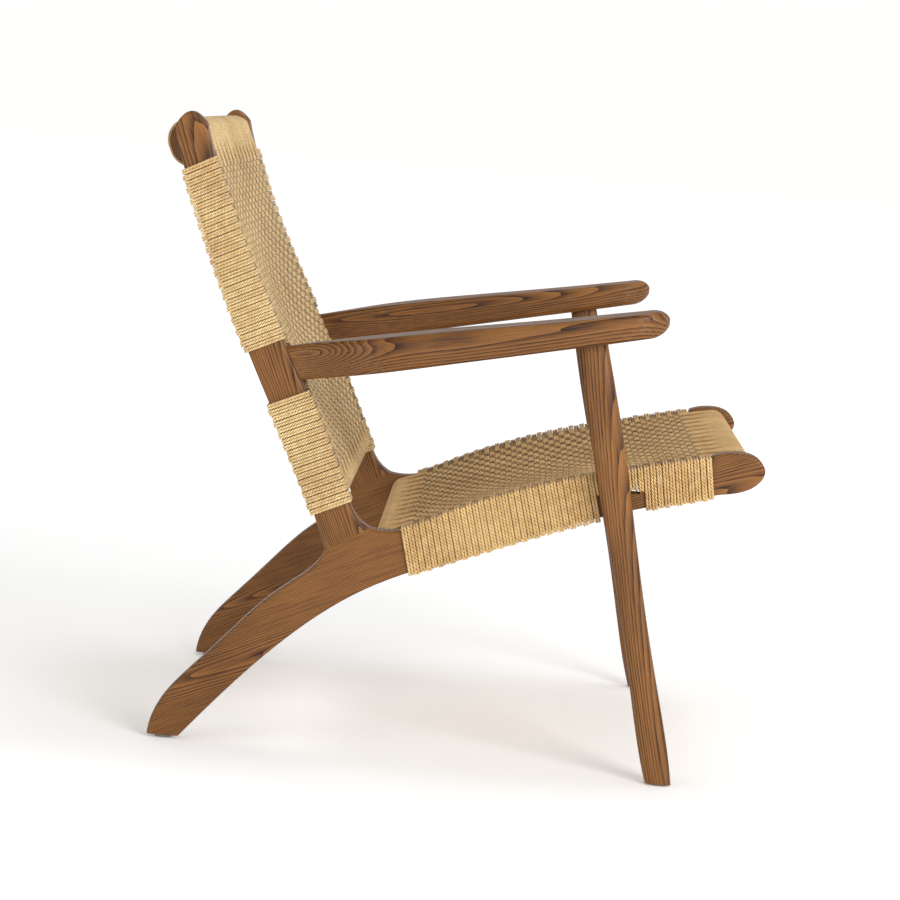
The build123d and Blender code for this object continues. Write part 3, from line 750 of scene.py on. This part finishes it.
def ring_way(ring, end, panel, radius, x):
    """From the panel's end on to a cross rail and nearly all the way round it."""
    outline, centre = ring
    entry = end[1:]
    spokes = outline - centre
    lengths = np.linalg.norm(spokes, axis=1)
    circle = centre + spokes * ((lengths - radius) / lengths)[:, None]
    away = centre - entry
    away = away / np.linalg.norm(away)
    leave = int(np.argmax(circle @ panel.facing - 0.35 * np.abs((circle - centre) @ away)))
    after = circle[(leave + 1) % len(circle)] - circle[leave]
    step = 1 if after @ away > 0 else -1
    count = int(len(circle) * ROUND_RAIL)
    arc = np.array([circle[(leave + step * i) % len(circle)] for i in range(count)])
    share = np.linspace(0.2, 0.9, 5)
    bridge = entry + (arc[0] - entry) * share[:, None]
    line = np.concatenate([bridge, arc])
    gone = np.r_[0.0, np.cumsum(np.linalg.norm(np.diff(np.vstack([entry, line]), axis=0), axis=1))][1:]
    across = end[0] + (x - end[0]) * np.clip((gone - 0.003) / SPREAD, 0.0, 1.0)
    return np.column_stack([across, line])


# ------------------------------------------------------------------ the operators
class WoodOperator(bpy.types.Operator):
    """Give every wooden piece its stained, lacquered finish, with the grain along the piece"""
    bl_idname = "cord_chair.finish_wood"
    bl_label = "Finish the wood"

    def execute(self, context):
        settings = settings_of("chair_wood")
        grains = {
            "side_rail_and_rear_leg": (0.0, 0.91, -0.41),
            "back_stile": (0.0, 0.45, 0.89),
            "arm": (0.0, 0.98, -0.20),
            "front_leg": (0.0, 0.2375, 1.0),
        }
        for piece, grain in grains.items():
            for side, sign in (("right_", -1.0), ("left_", 1.0)):
                name = side + piece
                give(NODES[name], stained_wood("ash_" + name, settings, grain, self.heart(name, grain, sign)))
        for rail in ("back_top_rail", "back_bottom_rail", "seat_front_rail", "seat_rear_rail"):
            give(NODES[rail], stained_wood("ash_" + rail, settings, (1.0, 0.0, 0.0), (0.3, 0.3)))
        return {"FINISHED"}

    def heart(self, name, grain, sign):
        """Where the middle of the tree lay, seen along the grain: a little inward of the piece's centre and
        above it."""
        low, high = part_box(name)
        turn = Vector(grain).normalized().to_track_quat("X", "Z").inverted()
        laid = turn @ ((low + high) / 2)
        inward = turn @ Vector((-sign, 0.0, 0.0))
        return laid.y + inward.y * 0.016, laid.z + 0.011


class HardwareOperator(bpy.types.Operator):
    """Finish the screws, the cord nails and the glides"""
    bl_idname = "cord_chair.finish_hardware"
    bl_label = "Finish the hardware"

    def execute(self, context):
        steel = brushed_steel("nail_steel", (0.20, 0.19, 0.18))
        bright = brushed_steel("screw_steel", (0.55, 0.54, 0.52))
        grey = moulded_plastic("glide_plastic", (0.22, 0.22, 0.22))
        for name, node in NODES.items():
            if name.endswith("cord_nails"):
                give(node, steel)
            elif name.endswith("screws"):
                give(node, bright)
            elif name.endswith("glide"):
                give(node, grey)
        return {"FINISHED"}


SEAT_SLEEVES = ("seat_side_cord_front", "seat_side_cord_rear")
BACK_SLEEVES = ("back_side_cord_upper", "back_side_cord_lower")


def sleeves_of(sleeves):
    return [side + sleeve for side in ("left_", "right_") for sleeve in sleeves]


class SeatOperator(bpy.types.Operator):
    """String the seat: wefts wound over the side rails and warps laid round the front and rear rails"""
    bl_idname = "cord_chair.string_seat"
    bl_label = "String the seat"

    def execute(self, context):
        cord = settings_of("chair_cord")
        # the seat's cord colour carries painted shade
        finish = twisted_cord("paper_cord_seat", cord, tuple(cord.seat_colour_painted_shade))
        rings = ("seat_front_rail_cord", "seat_rear_rail_cord")
        panel = WovenPanel("seat_weave", SEAT_SLEEVES, rings, cord)
        slots = self.slots(panel)

        def ends(k, lift):
            if panel.stations[k].lower is not None:
                return round_member(panel, k, lift)
            if k not in slots:
                return behind_leg(panel, k)
            return into_slot(panel, k, slots[k])

        hank("seat_weft", weft_runs(panel, cord.seat_wave, ends), finish,
             ["seat_weave"] + sleeves_of(SEAT_SLEEVES))
        hank("seat_warp", warp_runs(panel, cord.seat_wave), finish, rings)
        return {"FINISHED"}

    def slots(self, panel):
        """How deep the cord goes down the rail's face at each bare station that the leg does not cover. Where
        a station has no opening straight below it, its cord goes as deep as the nearest one that has."""
        rail = surface_of("left_side_rail_and_rear_leg")
        leg = surface_of("left_front_leg")
        found = {}
        for k, (upper, lower, down) in enumerate(panel.stations):
            beside = Vector((panel.outer - 0.001, *(upper + down * 0.004)))
            if lower is not None or leg.ray_cast(beside, OUTWARD, LEG_REACH)[0] is not None:
                continue
            found[k] = None
            for depth in np.arange(*SLOT_DEPTHS):
                start = Vector((panel.outer + 0.02, *(upper + down * depth)))
                if rail.ray_cast(start, -OUTWARD, 0.03)[0] is None:
                    found[k] = depth + panel.cord.diameter
                    break
        known = [k for k, depth in found.items() if depth is not None]
        return {k: found[min(known, key=lambda other: abs(other - k))] for k in found} if known else {}


class BackOperator(bpy.types.Operator):
    """String the back: wefts wound over the stiles and warps laid round the top and bottom rails"""
    bl_idname = "cord_chair.string_back"
    bl_label = "String the back"

    def execute(self, context):
        cord = settings_of("chair_cord")
        finish = twisted_cord("paper_cord_back", cord, tuple(cord.back_colour))
        rings = ("back_top_rail_cord", "back_bottom_rail_cord")
        panel = WovenPanel("back_weave", BACK_SLEEVES, rings, cord)

        def ends(k, lift):
            if panel.stations[k].lower is not None:
                return round_member(panel, k, lift)
            return on_to_nail(panel, k)

        hank("back_weft", weft_runs(panel, cord.back_wave, ends), finish,
             ["back_weave"] + sleeves_of(BACK_SLEEVES))
        hank("back_warp", warp_runs(panel, cord.back_wave), finish, rings)
        return {"FINISHED"}


FLOOR_SIZE = 60.0
BRIGHTENS = (0.5, 3.5)      # distances from the chair between which the floor starts to glow more
NEAR_GLOW = (0.22, 0.22, 0.22)
FAR_GLOW = (0.58, 0.58, 0.58)
CAMERA_PLACE = (-4.0493, -0.050, 0.7711)
CAMERA_TURN = (0.840, 6.160, 4.824)     # yaw from +X, pitch down and roll, in degrees
SOFTBOXES = (               # name, way from the middle of the chair, width and height, watts
    ("key_softbox", (-3.0, -2.0, 1.3), (1.6, 1.2), 84.0),
    ("top_softbox", (0.5, -0.6, 3.0), (1.6, 1.2), 24.0),
    ("fill_softbox", (-2.4, 2.4, 0.7), (1.4, 1.2), 14.0),
)


class StageOperator(bpy.types.Operator):
    """Set the pale floor, the soft studio lights and the camera"""
    bl_idname = "cord_chair.set_stage"
    bl_label = "Set the stage"

    def execute(self, context):
        settings = settings_of("chair_stage")
        self.lay_floor(settings)
        self.light_air()
        self.hang_lights()
        self.place_camera(settings)
        return {"FINISHED"}

    def lay_floor(self, settings):
        """A wide floor that glows a little, and more so far from the chair, so that it fades into the air."""
        bpy.ops.mesh.primitive_grid_add(x_subdivisions=2, y_subdivisions=2, size=FLOOR_SIZE)
        floor = bpy.context.active_object
        floor.name = "studio_floor"
        finish = Finish("floor_paper")
        place = finish.place()
        cloud = finish.noise(place, 1.5, 2.0)
        x, y, _ = finish.axes(place)
        away = (x * x + y * y).root()
        colour = tuple(settings.floor)
        finish.set(Base_Color=finish.mix(cloud, tuple(c * 0.985 for c in colour), colour), Roughness=0.7,
                   Emission_Color=finish.mix(away.over(*BRIGHTENS), NEAR_GLOW, FAR_GLOW),
                   Emission_Strength=1.0)
        give(floor, finish.material)

    def light_air(self):
        """A white sky that is dimmer overhead, so that faces turned up do not wash out."""
        world = bpy.data.worlds.new("studio_air")
        world.use_nodes = True
        sky = Graph(world.node_tree)
        air = next(n for n in world.node_tree.nodes if n.type == "BACKGROUND")
        height = sky.axes(sky.node("ShaderNodeTexCoord", output="Generated"))[2]
        sky.feed(air.inputs["Color"], (1.0, 0.995, 0.985))
        sky.feed(air.inputs["Strength"], 1.0 - height.over(0.10, 0.75) * 0.62)
        bpy.context.scene.world = world
        bpy.context.scene.view_settings.view_transform = "Standard"

    def hang_lights(self):
        aim = Vector(cad_box[0]).lerp(Vector(cad_box[1]), 0.5)
        for name, away, size, power in SOFTBOXES:
            data = bpy.data.lights.new(name, "AREA")
            data.shape = "RECTANGLE"
            data.size, data.size_y = size
            data.energy = power
            lamp = bpy.data.objects.new(name, data)
            bpy.context.scene.collection.objects.link(lamp)
            lamp.location = aim + Vector(away)
            lamp.rotation_euler = (-Vector(away)).to_track_quat("-Z", "Y").to_euler()

    def place_camera(self, settings):
        data = bpy.data.cameras.new("studio_camera")
        data.lens = settings.lens
        data.sensor_width = 36.0
        camera = bpy.data.objects.new("studio_camera", data)
        bpy.context.scene.collection.objects.link(camera)
        yaw, pitch, roll = (math.radians(a) for a in CAMERA_TURN)
        ahead = Vector((math.cos(yaw) * math.cos(pitch), math.sin(yaw) * math.cos(pitch), -math.sin(pitch)))
        level = ahead.cross(Vector((0.0, 0.0, 1.0))).normalized()
        above = level.cross(ahead)
        right = level * math.cos(roll) + above * math.sin(roll)
        up = above * math.cos(roll) - level * math.sin(roll)
        turn = Matrix((right, up, -ahead)).transposed()
        camera.matrix_world = Matrix.Translation(CAMERA_PLACE) @ turn.to_4x4()
        bpy.context.scene.camera = camera


class ChairPanel(bpy.types.Panel):
    """The chair's settings and steps"""
    bl_idname = "VIEW3D_PT_cord_chair"
    bl_label = "Cord chair"
    bl_space_type = "VIEW_3D"
    bl_region_type = "UI"
    bl_category = "Cord chair"

    def draw(self, context):
        column = self.layout.column(align=True)
        for step in STEPS:
            column.operator(step.bl_idname)
        for name, kind in SETTINGS.items():
            box = self.layout.box()
            for key in kind.__annotations__:
                box.prop(getattr(context.scene, name), key)


STEPS = (WoodOperator, HardwareOperator, SeatOperator, BackOperator, StageOperator)
SETTINGS = {"chair_cord": CordSettings, "chair_wood": WoodSettings, "chair_stage": StageSettings}


def register():
    for kind in (*SETTINGS.values(), *STEPS, ChairPanel):
        bpy.utils.register_class(kind)
    for name, kind in SETTINGS.items():
        setattr(bpy.types.Scene, name, bpy.props.PointerProperty(type=kind))


def unregister():
    for name in SETTINGS:
        delattr(bpy.types.Scene, name)
    for kind in reversed((*SETTINGS.values(), *STEPS, ChairPanel)):
        bpy.utils.unregister_class(kind)


def main():
    register()
    bpy.ops.cord_chair.finish_wood()
    bpy.ops.cord_chair.finish_hardware()
    bpy.ops.cord_chair.string_seat()
    bpy.ops.cord_chair.string_back()
    bpy.ops.cord_chair.set_stage()


if __name__ == "__main__":
    main()
